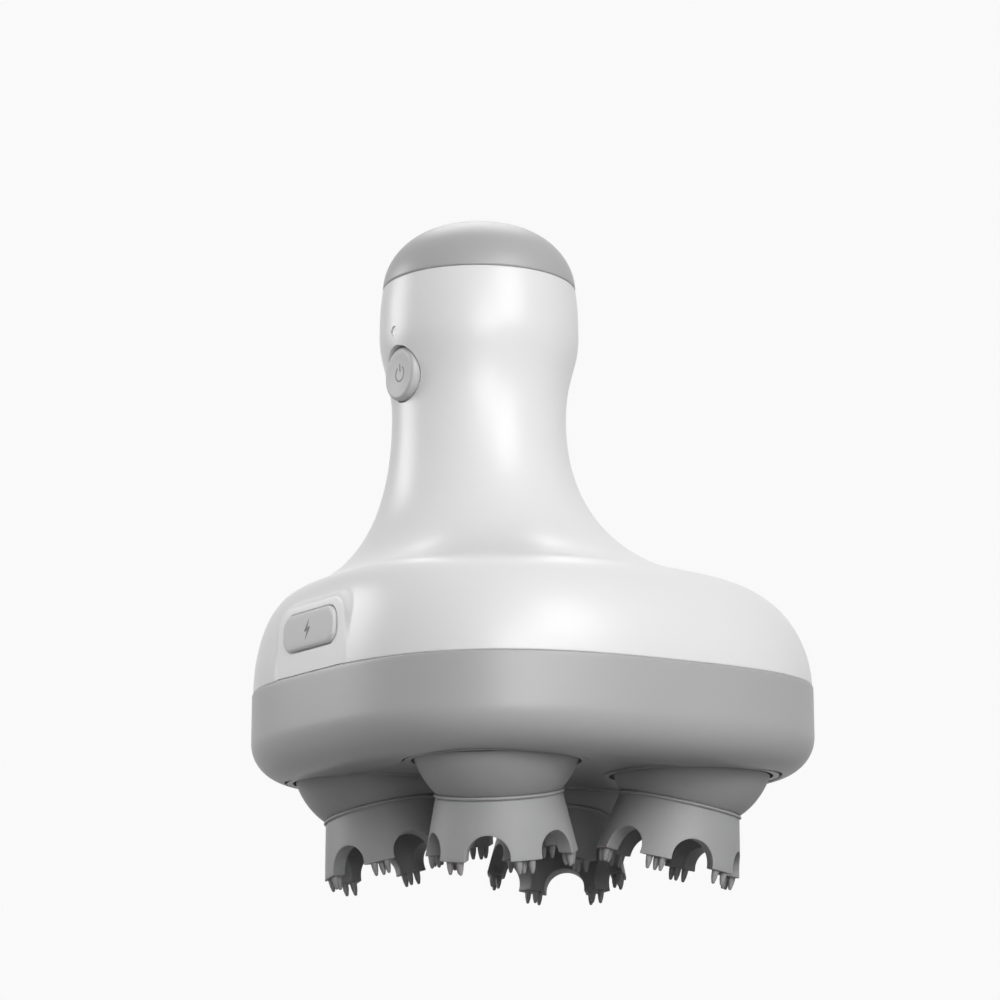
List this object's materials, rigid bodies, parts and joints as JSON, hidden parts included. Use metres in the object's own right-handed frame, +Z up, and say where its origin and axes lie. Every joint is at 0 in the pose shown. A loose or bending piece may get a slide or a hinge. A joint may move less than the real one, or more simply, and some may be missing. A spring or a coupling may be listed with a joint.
{
  "type": "electric scalp massager",
  "caption": "Cordless scalp massager: square grey-and-white base with a waisted handle, whose leaning soft crowned heads turn together on gears.",
  "frame": {"origin": "On the surface that the nub tips stand on, below the centre of the square base.", "axes": "+Z up through the handle, -Y toward the side with the charging port and power button, +X to the right of that side."},
  "size_m": [0.1044, 0.1044, 0.1369],
  "materials": {
    "shell_white": "satin white moulded shell",
    "trim_grey": "fine matt mid-grey moulding",
    "silicone_grey": "soft matt grey silicone",
    "cover_rubber": "matt off-white rubber",
    "button_grey": "matt grey",
    "seal_black": "matt black",
    "frame_nylon": "natural nylon",
    "gear_nylon": "greased natural acetal",
    "shaft_steel": "ground steel",
    "brass": "turned brass",
    "motor_can": null,
    "cell_sleeve": null,
    "board_green": "solder-masked board",
    "window_clear": "translucent light pipe"
  },
  "bodies": {
    "housing": {"upper_shell": "shell_white", "base_ring": "trim_grey", "bottom_cover": "trim_grey", "top_cap": "trim_grey", "shell_gasket": "seal_black", "gear_plate": "frame_nylon", "drive_axle": "shaft_steel", "motor": "motor_can", "head_bush_front": "brass", "head_bush_right": "brass", "head_bush_rear": "brass", "head_bush_left": "brass", "head_seal_front": "seal_black", "head_seal_right": "seal_black", "head_seal_rear": "seal_black", "head_seal_left": "seal_black", "cell_frame": "frame_nylon", "cell": "cell_sleeve", "main_board": "board_green", "tact_switch": "seal_black", "light_window": "window_clear", "charge_board": "board_green", "charge_socket": "shaft_steel", "plate_screws": "shaft_steel", "motor_screws": "shaft_steel"},
    "drive": {"drive_gear": "gear_nylon"},
    "rotor": {"motor_shaft": "shaft_steel", "motor_pinion": "brass"},
    "head_front": {"head_cup_front": "silicone_grey", "head_hub_front": "frame_nylon", "head_shaft_front": "shaft_steel", "head_gear_front": "gear_nylon"},
    "head_right": {"head_cup_right": "silicone_grey", "head_hub_right": "frame_nylon", "head_shaft_right": "shaft_steel", "head_gear_right": "gear_nylon"},
    "head_rear": {"head_cup_rear": "silicone_grey", "head_hub_rear": "frame_nylon", "head_shaft_rear": "shaft_steel", "head_gear_rear": "gear_nylon"},
    "head_left": {"head_cup_left": "silicone_grey", "head_hub_left": "frame_nylon", "head_shaft_left": "shaft_steel", "head_gear_left": "gear_nylon"},
    "button": {"power_button": "button_grey"},
    "cover": {"port_cover": "cover_rubber"}
  },
  "joints": [
    {"name": "drive_spin", "type": "hinge", "parent": "housing", "child": "drive", "pos_m": [0, 0, 0.035], "axis": [0, 0, 1], "continuous": true},
    {"name": "rotor_spin", "type": "hinge", "parent": "housing", "child": "rotor", "pos_m": [0, -0.0125, 0.05], "axis": [0, 0, 1], "continuous": true},
    {"name": "head_front_spin", "type": "hinge", "parent": "housing", "child": "head_front", "pos_m": [0.02242, -0.02242, 0.02222], "axis": [0.153, -0.153, 0.9763], "continuous": true},
    {"name": "head_right_spin", "type": "hinge", "parent": "housing", "child": "head_right", "pos_m": [0.02242, 0.02242, 0.02222], "axis": [0.153, 0.153, 0.9763], "continuous": true},
    {"name": "head_rear_spin", "type": "hinge", "parent": "housing", "child": "head_rear", "pos_m": [-0.02242, 0.02242, 0.02222], "axis": [-0.153, 0.153, 0.9763], "continuous": true},
    {"name": "head_left_spin", "type": "hinge", "parent": "housing", "child": "head_left", "pos_m": [-0.02242, -0.02242, 0.02222], "axis": [-0.153, -0.153, 0.9763], "continuous": true},
    {"name": "button_press", "type": "slide", "parent": "housing", "child": "button", "axis": [0, 1, 0], "range_m": [0, 0.0005], "stiffness_N_per_m": 400},
    {"name": "cover_pull", "type": "slide", "parent": "housing", "child": "cover", "axis": [0, -1, 0], "range_m": [0, 0.008]}
  ],
  "couplings": [
    {"joint": "rotor_spin", "follows": "drive_spin", "ratio": -4},
    {"joint": "head_front_spin", "follows": "drive_spin", "ratio": -1.1613},
    {"joint": "head_right_spin", "follows": "drive_spin", "ratio": -1.1613},
    {"joint": "head_rear_spin", "follows": "drive_spin", "ratio": -1.1613},
    {"joint": "head_left_spin", "follows": "drive_spin", "ratio": -1.1613}
  ]
}
